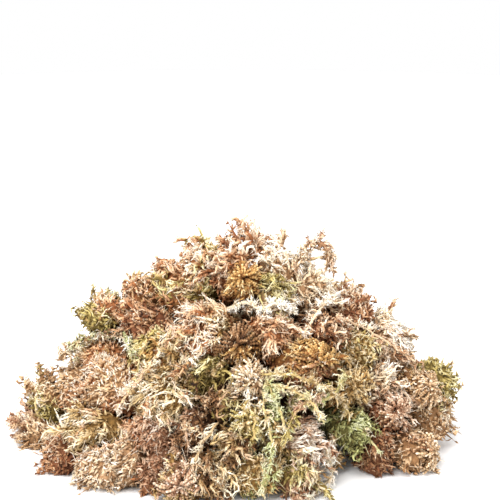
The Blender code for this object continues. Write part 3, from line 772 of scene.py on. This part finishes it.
def wander(start, normal, way, rng):
    """Points of a strand that wanders over the heap from a place, in millimetres.

    Each step turns a little and falls a little; then the point is set on the
    outermost surface under it, a strand's height off. The points are smoothed
    by 1/4, 1/2, 1/4.
    """
    at = np.array(start)
    points = [at]
    outward = np.array(normal)
    for _ in range(rng.integers(*WANDER_STEPS)):
        way = way + rng.normal(0, WANDER_TURN, 3) + np.array([0, 0, -WANDER_FALL])
        way = unit(way - outward * (way @ outward))
        ahead = at + way * WANDER_STEP * MM
        outward = unit(outward + unit(ahead - HEAP_MIDDLE))
        reach = WANDER_REACH * MM
        above = Vector(ahead + outward * reach)
        place, facing, _, _ = TREE.ray_cast(above, Vector(-outward), 2 * reach)
        if place is None:
            break
        outward = unit(outward + np.array(facing))
        at = np.array(place) + outward * WANDER_HEIGHT * MM
        if at[2] < WANDER_STEP * MM:
            break
        points.append(at)
    line = np.array(points)
    if len(line) > 2:
        line[1:-1] = line[1:-1] / 2 + (line[:-2] + line[2:]) / 4
    return line / MM


def rope(points, spread, number, pale, sizes, rng, steps=ROPE_STEPS):
    """A leafy rope: a stem along a smooth line, and short curling strands all round it.

    Between points b and c, with neighbours a and d, the line is
    b + (c - a) t/2 + (2a - 5b + 4c - d) t^2/2 + (3b - a - 3c + d) t^3/2.
    """
    shortest, longest, radius, leaf, leaf_width = sizes
    knots = np.array(points) * MM
    knots = np.concatenate([2 * knots[:1] - knots[1:2], knots, 2 * knots[-1:] - knots[-2:-1]])
    at = np.linspace(0, len(points) - 1, (len(points) - 1) * steps + 1)
    low = np.minimum(at.astype(int), len(points) - 2)
    t = (at - low)[:, None]
    a, b, c, d = (knots[low + k] for k in range(4))
    line = (b + (c - a) * t / 2 + (2 * a - 5 * b + 4 * c - d) * t ** 2 / 2
            + (3 * b - a - 3 * c + d) * t ** 3 / 2)
    line[1:-1] += rng.normal(0, ROPE_WOBBLE * MM, (len(line) - 2, 3))
    rings = len(line) - 2
    stem = np.full((1, rings, ROPE_SIDES), ROPE_STEM * MM)
    tone = np.full((1, len(line)), ROPE_TONE + pale)
    own, leafy_side = np.array(ROPE_FAMILY)[:, None]
    parts = [tubes(line[None], stem, even_turns(rings, ROPE_SIDES), tone, own, rng),
             leaves(line[None], stem[:, 0, 0], number, leaf, leaf_width, tone, leafy_side, rng)]
    spot = np.sort(rng.uniform(0, len(line) - 1.01, number))
    low = spot.astype(int)
    part = (spot - low)[:, None]
    tangent = unit(np.gradient(line, axis=0))[low]
    out = unit(np.cross(tangent, rng.normal(0, 1, (number, 3))))
    places = line[low] * (1 - part) + line[low + 1] * part + out * ROPE_STEM * MM
    sweep = tangent + np.array([0, 0, -ROPE_DROOP])
    paths, lock = combed_paths(places, out, sweep, line[-1:], shortest * spread, longest * spread,
                               STRAND_WAYS["stem"], rng)
    shades = (np.linspace(*ROPE_SHADES, paths.shape[1])[None] + pale
              + rng.normal(0, ROPE_SHADE_STRAY, (lock.max() + 1, 1))[lock])
    thick = radius * rng.uniform(*ROPE_THICKS, number)
    mix = rng.uniform(*ROPE_MIX, lock.max() + 1)[lock]
    return parts + leafy(paths, thick, ROPE_LEAVES, leaf, leaf_width, shades, mix, rng)


def along_paths(values, at):
    """Values given at even steps along each path, read at shares of its length."""
    steps = values.shape[1]
    low = np.minimum((at * (steps - 1)).astype(int), steps - 2)
    part = at * (steps - 1) - low
    if values.ndim == 3:
        part = part[:, None]
    return values[:, low] * (1 - part) + values[:, low + 1] * part


def scaly(paths, thick, layers, sides, blunt, shades, families, rng):
    """Stems in layers of small leaves, like a string of ragged cups.

    Each layer is a narrow ring where its leaves set in and a wide ring of
    leaf tips, which stand out over the next layer. A layer is turned by half
    a leaf from the last. The stem tapers as 1 - (1 - blunt) t^2.
    """
    count = len(paths)
    inset = (np.arange(layers) + LAYER_START) / (layers + LAYER_SPARE)
    tips = inset + 1 / (layers + LAYER_SPARE)
    at = np.stack([inset, np.minimum(tips, LAST_TIP)], axis=1).ravel()
    at = np.concatenate([[0.0], at, [1.0]])
    centres = along_paths(paths, at)
    taper = 1 - (1 - blunt) * at[1:-1] ** 2
    size = np.tile([VALLEY, 1.0], layers) * taper
    ragged = rng.uniform(*RAGGED, (count, 2 * layers, sides))
    ragged[:, ::2] = 1.0
    radii = thick[:, None, None] * size[None, :, None] * ragged
    half = np.arange(2 * layers) // 2 + np.where(np.arange(2 * layers) % 2, 0.0, 1.0)
    turns = 2 * math.pi * (np.arange(sides)[None] + 0.5 * half[:, None]) / sides
    # Painted shade on the narrow ring under each layer's leaf tips, which are lighter
    lighter = np.concatenate([[0.0], np.tile([-UNDER_LEAF_PAINTED_SHADE, LEAF_LIGHTER], layers), [LEAF_LIGHTER]])
    return tubes(centres, radii, turns, along_paths(shades, at) + lighter, families, rng)


def strand_shades(open_share, steps, lock, patch, rng):
    """Colour coordinate along each strand: dark root, pale tip, and painted shade where little light
    comes.

    It goes from root to tip as t^0.8. A lock has a shift of its own, which
    grows by 0.3 + 0.7 t, so that pale locks lie among darker ones.
    """
    t = np.linspace(0, 1, steps)[None]
    # Painted shade: the coordinate falls where little of the sky is open
    painted_shade = (1 - light_at(open_share))[:, None]
    start = ROOT_SHADE - ROOT_PAINTED_SHADE * painted_shade
    end = TIP_SHADE - TIP_PAINTED_SHADE * painted_shade
    shift = rng.normal(0, LOCK_SHADE, (lock.max() + 1, 1))[lock]
    shift = shift + rng.normal(0, SHADE_STRAY, (len(open_share), 1)) + PATCH_SHADE * patch[:, None]
    return start + (end - start) * t ** 0.8 + shift * (0.3 + 0.7 * t)


def families_at(places, share, seed, rng, lock=None):
    """Second coordinate: below a half the main family, above it the second, by patch and lock."""
    mixed = share + PATCH_FAMILY * patchy(places, seed) + rng.normal(0, FAMILY_STRAY, len(places))
    if lock is not None:
        mixed += rng.normal(0, LOCK_FAMILY, lock.max() + 1)[lock]
    return np.clip(mixed, *FAMILY_RANGE)


def core(points, faces, tips, share, seed):
    """The solid itself, a little smaller, as the dark ground of the piece: painted shade that shows as
    depth between the leaves.
    """
    normals = point_normals(points, faces)
    inner = points - normals * CORE_SHRINK * MM
    u = np.full(len(points), CORE_PAINTED_SHADE)
    if len(tips):
        near = np.linalg.norm(tips[None] - points[:, None], axis=2).min(axis=1)
        u = u + CORE_TIP_SHADE * np.exp(-near / (CORE_TIP_REACH * MM))
    v = np.clip(share + CORE_PATCH * patchy(points, seed), *FAMILY_RANGE)
    return inner, faces, np.stack([u, v], axis=1)


def finger_paths(tips, rings, outward, rng):
    """Paths of the scaly fingers of a head, in a rosette spread by the golden angle.

    The fingers leave the head's middle, and reach as far as the packed
    branches near them do: each branch counts by exp(aim d.e) for its direction e.
    Each path is the curve root (1-t)^2 + 2 knee t (1-t) + tip t^2.
    """
    middle = rings.mean(axis=0) - outward * HEAD_DEPTH * MM
    number = np.arange(FINGERS)
    lift = 1 - (number + 0.5) / FINGERS * (1 - math.cos(math.radians(HEAD_SPREAD)))
    turn = number * GOLDEN_ANGLE + rng.uniform(-FINGER_TURN, FINGER_TURN, FINGERS)
    side = unit(np.cross(outward, ASKEW))
    over = np.cross(outward, side)
    ways = outward * lift[:, None] + np.sqrt(1 - lift ** 2)[:, None] * (
        side * np.cos(turn)[:, None] + over * np.sin(turn)[:, None])
    ways = unit(ways + rng.normal(0, FINGER_STRAY, ways.shape))
    reach = np.linalg.norm(tips - middle, axis=1)
    weight = np.exp(FINGER_AIM * ways @ unit(tips - middle).T)
    far = (weight @ reach / weight.sum(axis=1) * rng.uniform(*FINGER_REACH, FINGERS))[:, None]
    tip = middle + ways * far
    knee = middle + unit(ways + outward * KNEE_OUT + rng.normal(0, KNEE_STRAY, ways.shape)) * far
    root = middle + unit(ways + outward) * far * FINGER_ROOT
    t = np.linspace(0, 1, FINGER_STEPS)[None, :, None]
    return root[:, None] * (1 - t) ** 2 + 2 * knee[:, None] * t * (1 - t) + tip[:, None] * t ** 2


def fingers(tips, rings, outward, share, seed, rng):
    """Blunt scaly fingers of a head, which grow lighter to their tips as t^1.3."""
    paths = finger_paths(tips, rings, outward, rng)
    count = len(paths)
    families = families_at(paths[:, -1], share, seed, rng)
    t = np.linspace(0, 1, FINGER_STEPS)
    strays = rng.normal(0, FINGER_SHADE_STRAY, (count, 1))
    shades = FINGER_SHADE + FINGER_LIGHTER * t[None] ** 1.3 + strays
    thick = FINGER_RADIUS * MM * rng.uniform(*FINGER_THICKS, count)
    long = np.linalg.norm(np.diff(paths, axis=1), axis=2).sum(axis=1).mean()
    layers = int(long / (FINGER_PITCH * MM))
    return scaly(paths, thick, layers, FINGER_SIDES, FINGER_BLUNT, shades, families, rng)


def hairs(places, normals, rng):
    """A few fine pale hairs that stand off the piece."""
    count = len(places)
    lengths = rng.uniform(*HAIR_LENGTHS, (count, 1, 1)) * MM
    t = np.linspace(0, 1, HAIR_STEPS)[None, :, None]
    way = unit(normals + rng.normal(0, HAIR_STRAY, normals.shape))[:, None]
    bow = unit(rng.normal(0, 1, normals.shape))[:, None] * rng.uniform(*HAIR_BOW, (count, 1, 1))
    paths = places[:, None] + (way * t + bow * t ** 2) * lengths
    shades = np.repeat(rng.uniform(*HAIR_SHADES, (count, 1)), HAIR_STEPS, axis=1)
    rings = HAIR_STEPS - 2
    radii = np.full((count, rings, HAIR_SIDES), HAIR_RADIUS * MM)
    return tubes(paths, radii, even_turns(rings, HAIR_SIDES), shades, np.full(count, HAIR_FAMILY), rng)


def raised(points):
    """Heights eased so that nothing reaches the floor: below a limit h they fall as h exp(z/h - 1)."""
    limit = FLOOR_SOFT * MM
    eased = limit * np.exp(np.minimum(points[:, 2], limit) / limit - 1)
    points[:, 2] = np.where(points[:, 2] < limit, eased, points[:, 2])
    return points


def joined(name, parts):
    """One object from several sets of points, faces and UV places."""
    points = raised(np.concatenate([part[0] for part in parts]))
    shifts = np.cumsum([0] + [len(part[0]) for part in parts[:-1]])
    faces = np.concatenate([part[1] + shift for part, shift in zip(parts, shifts)])
    places = np.clip(np.concatenate([part[2] for part in parts]), *UV_RANGE)
    mesh = bpy.data.meshes.new(name)
    mesh.vertices.add(len(points))
    mesh.vertices.foreach_set("co", points.ravel())
    mesh.loops.add(faces.size)
    mesh.loops.foreach_set("vertex_index", faces.ravel().astype(np.int32))
    mesh.polygons.add(len(faces))
    mesh.polygons.foreach_set("loop_start", np.arange(0, faces.size, 3, dtype=np.int32))
    mesh.update(calc_edges=True)
    mesh.uv_layers.new(name=UV_NAME).data.foreach_set("uv", places[faces.ravel()].ravel())
    mesh.shade_smooth()
    obj = bpy.data.objects.new(name, mesh)
    bpy.context.scene.collection.objects.link(obj)
    return obj


def add_node(tree, kind, settings=None, inputs=None):
    """Adds a shader node with its settings; an input's value is a number, a colour or a socket."""
    node = tree.nodes.new(kind)
    for key, value in (settings or {}).items():
        setattr(node, key, value)
    for key, value in (inputs or {}).items():
        if isinstance(value, bpy.types.NodeSocket):
            tree.links.new(value, node.inputs[key])
        else:
            node.inputs[key].default_value = value
    return node


def shade_ramp(tree, factor, family, colours):
    """Root, body and tip colours of a family along the colour coordinate, with a painted shade of the
    root's colour below the root.
    """
    ramp = add_node(tree, "ShaderNodeValToRGB", {}, {"Fac": factor})
    stops = ramp.color_ramp.elements
    root, body, tip = (getattr(colours, f"{family}_{part}") for part in ("root", "body", "tip"))
    # Painted shade: the root's colour darkened for the deepest places
    dark = tuple(c * DARKEST for c in root)
    stops[0].position, stops[0].color = 0.0, (*dark, 1)
    stops[1].position, stops[1].color = 1.0, (*tip, 1)
    for position, colour in ((ROOT_STOP, root), (BODY_STOP, body)):
        stop = stops.new(position)
        stop.color = (*colour, 1)
    return ramp.outputs["Color"]


def dried_moss(main, second):
    """Dried sphagnum leaf: papery and dull, with painted shade in its depth and bleached at its tips.

    The piece's own map gives the colour: along it runs from root to tip, and
    across it from the main family to the second.
    """
    name = f"dried sphagnum leaf, {main} with {second}"
    if name in bpy.data.materials:
        return bpy.data.materials[name]
    colours = bpy.context.scene.moss_colours
    material = bpy.data.materials.new(name)
    material.use_nodes = True
    tree = material.node_tree
    shader = tree.nodes["Principled BSDF"]
    place = add_node(tree, "ShaderNodeUVMap", {"uv_map": UV_NAME})
    split = add_node(tree, "ShaderNodeSeparateXYZ", {}, {"Vector": place.outputs["UV"]})
    spot = add_node(tree, "ShaderNodeTexCoord")
    # Mottling a few leaves wide, where sap has dried unevenly
    mottle = add_node(tree, "ShaderNodeTexNoise", {}, {"Vector": spot.outputs["Object"],
                      "Scale": 1 / (MOTTLE * MM), "Detail": 2.0, "Roughness": 0.6})
    shifted = add_node(tree, "ShaderNodeMapRange", {}, {"Value": mottle.outputs["Fac"],
                       "From Min": 0.25, "From Max": 0.75, "To Min": -0.09, "To Max": 0.09})
    along = add_node(tree, "ShaderNodeMath", {"operation": "ADD", "use_clamp": True},
                     {0: split.outputs["X"], 1: shifted.outputs["Result"]})
    mix_at = add_node(tree, "ShaderNodeMapRange", {"interpolation_type": "SMOOTHSTEP"},
                      {"Value": split.outputs["Y"], "From Min": 0.38, "From Max": 0.62})
    first = shade_ramp(tree, along.outputs[0], main, colours)
    other = shade_ramp(tree, along.outputs[0], second, colours)
    mixed = add_node(tree, "ShaderNodeMix", {"data_type": "RGBA"},
                     {0: mix_at.outputs["Result"], 6: first, 7: other})
    tree.links.new(mixed.outputs[2], shader.inputs["Base Color"])
    # Papery leaf: cells about a third of a millimetre across catch the light
    cells = add_node(tree, "ShaderNodeTexNoise", {}, {"Vector": spot.outputs["Object"],
                     "Scale": 1 / (CELL * MM), "Detail": 1.0})
    bump = add_node(tree, "ShaderNodeBump", {}, {"Strength": 0.35, "Distance": 0.1 * MM,
                    "Height": cells.outputs["Fac"]})
    tree.links.new(bump.outputs["Normal"], shader.inputs["Normal"])
    rough = add_node(tree, "ShaderNodeMapRange", {}, {"Value": mottle.outputs["Fac"],
                     "To Min": 0.7, "To Max": 0.95})
    tree.links.new(rough.outputs["Result"], shader.inputs["Roughness"])
    shader.inputs["Specular IOR Level"].default_value = 0.3
    return material


def dress(node):
    """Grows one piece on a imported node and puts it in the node's place."""
    kind, main, second, share, clock = PIECES[node]
    sizes = bpy.context.scene.moss_sizes
    shortest, longest, radius, spacing, leaf, leaf_width = (
        getattr(sizes, f"{kind}_{part}") for part in SIZE_NAMES)
    seed = bpy.context.scene.moss_stage.seed * 1000 + list(PIECES).index(node)
    rng = np.random.default_rng(seed)
    corners = corners_of(node)
    points, faces = welded(corners)
    tips, rings = branch_ends(points, faces)
    places, normals, open_share = open_places(TREE, corners, spacing, rng)
    # Painted shade: the hollows lower the open share, which darkens the colour and shortens the strands
    open_share = hollowed(places, open_share)
    # Painted shade toward the piece's foot, which also shortens the strands there
    open_share = open_share * above_foot(places, points)
    outward = unit(normals.mean(axis=0))
    sweep = sweep_direction(outward, clock)
    normals = unit(normals + unit(places - points.mean(axis=0)) * ROUNDED)
    room = LEAST_ROOM + (1 - LEAST_ROOM) * light_at(open_share)
    ways = STRAND_WAYS[kind]
    leaf_count = ways[6]
    paths, lock = combed_paths(places, normals, sweep, tips, shortest * room, longest * room, ways, rng)
    count = len(paths)
    shades = strand_shades(open_share, paths.shape[1], lock, patchy(places, seed + 1), rng)
    families = families_at(places, share, seed, rng, lock)
    thick = radius * rng.uniform(*STRAND_THICKS, count)
    parts = [core(points, faces, tips, share, seed)]
    parts += leafy(paths, thick, leaf_count, leaf, leaf_width, shades, families, rng)
    spots, facing, light = open_places(TREE, corners, GROUND_SPACING * MM, rng)
    # Painted shade for the ground leaves in the hollows and at the piece's foot
    light = hollowed(spots, light) * above_foot(spots, points)
    ground_families = families_at(spots, share, seed, rng)
    parts.append(ground_leaves(spots, facing, sweep, light, ground_families, rng))
    if kind == "head":
        parts.append(fingers(tips, rings, unit(outward + HEAD_TILT * sweep), share, seed, rng))
    slim = [getattr(sizes, f"stem_{part}") for part in SIZE_NAMES if part != "spacing"]
    for piece, spread, number, pale, line in ROPES:
        if piece == node:
            parts += rope(line, spread, number, pale, slim, rng)
    if kind in WANDER_KINDS:
        first = (open_share + rng.random(count)).argmax()
        way = sweep + rng.normal(0, WANDER_STRAY, 3)
        line = wander(places[first], normals[first], way, rng)
        if len(line) > 3:
            number = WANDER_STRANDS * len(line)
            parts += rope(line, WANDER_SPREAD, number, rng.uniform(*WANDER_PALE), slim, rng,
                          WANDER_ROPE_STEPS)
    chosen = rng.random(count) < HAIR_SHARE
    parts.append(hairs(places[chosen], normals[chosen], rng))
    piece = joined(f"{node}_leafy", parts)
    piece.data.materials.append(dried_moss(main, second))
    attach(piece, "root")
    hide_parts(node)
    return len(piece.data.polygons)


def dress_kind(kind):
    """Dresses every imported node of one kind."""
    nodes = [node for node, recipe in PIECES.items() if recipe[0] == kind]
    faces = sum(dress(node) for node in nodes)
    print(f"{kind}: {len(nodes)} pieces, {faces} triangles")
    return {"FINISHED"}


class MOSS_OT_shaggy_tufts(bpy.types.Operator):
    """Grow the shaggy tufts: long combed strands drawn into locks"""

    bl_idname = "moss.shaggy_tufts"
    bl_label = "Shaggy Tufts"

    def execute(self, context):
        return dress_kind("shaggy")


class MOSS_OT_combed_tufts(bpy.types.Operator):
    """Grow the combed tufts: long strands that lie side by side"""

    bl_idname = "moss.combed_tufts"
    bl_label = "Combed Tufts"

    def execute(self, context):
        return dress_kind("combed")


class MOSS_OT_leafy_heads(bpy.types.Operator):
    """Grow the leafy heads: rosettes of short scaly fingers"""

    bl_idname = "moss.leafy_heads"
    bl_label = "Leafy Heads"

    def execute(self, context):
        return dress_kind("head")


class MOSS_OT_felted_mats(bpy.types.Operator):
    """Grow the felted mats: fine short bristles"""

    bl_idname = "moss.felted_mats"
    bl_label = "Felted Mats"

    def execute(self, context):
        return dress_kind("mat")


class MOSS_OT_back_tufts(bpy.types.Operator):
    """Grow the large tufts of the heap's back"""

    bl_idname = "moss.back_tufts"
    bl_label = "Back Tufts"

    def execute(self, context):
        return dress_kind("back")


class MOSS_OT_leafy_strands(bpy.types.Operator):
    """Grow the single strands: stems with leaves all along"""

    bl_idname = "moss.leafy_strands"
    bl_label = "Leafy Strands"

    def execute(self, context):
        return dress_kind("stem")


def soft_light(name, place, size, power):
    """A square area light at a place, turned to the heap."""
    light = bpy.data.lights.new(name, "AREA")
    light.size = size
    light.energy = power
    lamp = bpy.data.objects.new(name, light)
    lamp.location = place
    lamp.rotation_euler = (Vector(LIGHT_AIM) - Vector(place)).to_track_quat("-Z", "Y").to_euler()
    bpy.context.scene.collection.objects.link(lamp)


class MOSS_OT_stage(bpy.types.Operator):
    """Set the pale floor, soft light and camera"""

    bl_idname = "moss.stage"
    bl_label = "Stage"

    def execute(self, context):
        settings = context.scene.moss_stage
        bpy.ops.mesh.primitive_circle_add(vertices=64, radius=settings.floor, fill_type="NGON")
        floor = context.object
        floor.name = "floor"
        paper = bpy.data.materials.new("matt white paper")
        paper.use_nodes = True
        shader = paper.node_tree.nodes["Principled BSDF"]
        shader.inputs["Base Color"].default_value = (0.9, 0.9, 0.9, 1)
        shader.inputs["Roughness"].default_value = 0.9
        floor.data.materials.append(paper)
        world = bpy.data.worlds.new("pale surround")
        world.use_nodes = True
        background = world.node_tree.nodes["Background"]
        background.inputs["Color"].default_value = (1, 1, 1, 1)
        # The camera sees plain white past the floor's edge
        sight = add_node(world.node_tree, "ShaderNodeLightPath")
        strength = add_node(world.node_tree, "ShaderNodeMapRange", {},
                            {"Value": sight.outputs["Is Camera Ray"], "To Min": settings.surround})
        world.node_tree.links.new(strength.outputs["Result"], background.inputs["Strength"])
        context.scene.world = world
        for name, place, size, power in LIGHTS:
            soft_light(name, place, size, getattr(settings, power))
        camera = bpy.data.objects.new("camera", bpy.data.cameras.new("camera"))
        context.scene.collection.objects.link(camera)
        ahead = Vector((0, math.cos(settings.tilt), -math.sin(settings.tilt)))
        camera.location = Vector(CAMERA_AIM) - ahead * settings.distance
        camera.rotation_euler = ahead.to_track_quat("-Z", "Y").to_euler()
        camera.data.lens = settings.lens
        camera.data.clip_start = 0.01
        context.scene.camera = camera
        context.scene.view_settings.view_transform = "Standard"
        return {"FINISHED"}


class MOSS_PT_panel(bpy.types.Panel):
    """Lists the operators, sizes and colours of the heap"""

    bl_label = "Dried Moss"
    bl_idname = "MOSS_PT_panel"
    bl_space_type = "VIEW_3D"
    bl_region_type = "UI"
    bl_category = "Moss"

    def draw(self, context):
        for operator in OPERATORS:
            self.layout.operator(operator.bl_idname)
        for group in (context.scene.moss_stage, context.scene.moss_sizes, context.scene.moss_colours):
            for name in group.__annotations__:
                self.layout.prop(group, name)


OPERATORS = (MOSS_OT_shaggy_tufts, MOSS_OT_combed_tufts, MOSS_OT_leafy_heads, MOSS_OT_felted_mats,
             MOSS_OT_back_tufts, MOSS_OT_leafy_strands, MOSS_OT_stage)
CLASSES = (MossColours, MossSizes, MossStage, MOSS_PT_panel) + OPERATORS


def register():
    """Makes the classes and the three groups of settings known to Blender."""
    for cls in CLASSES:
        bpy.utils.register_class(cls)
    bpy.types.Scene.moss_colours = PointerProperty(type=MossColours)
    bpy.types.Scene.moss_sizes = PointerProperty(type=MossSizes)
    bpy.types.Scene.moss_stage = PointerProperty(type=MossStage)


def unregister():
    """Takes the groups of settings and the classes away again."""
    del bpy.types.Scene.moss_stage
    del bpy.types.Scene.moss_sizes
    del bpy.types.Scene.moss_colours
    for cls in reversed(CLASSES):
        bpy.utils.unregister_class(cls)


def main():
    register()
    bpy.ops.moss.shaggy_tufts()
    bpy.ops.moss.combed_tufts()
    bpy.ops.moss.leafy_heads()
    bpy.ops.moss.felted_mats()
    bpy.ops.moss.back_tufts()
    bpy.ops.moss.leafy_strands()
    bpy.ops.moss.stage()
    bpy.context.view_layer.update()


TREE = heap_tree()

if __name__ == "__main__":
    main()
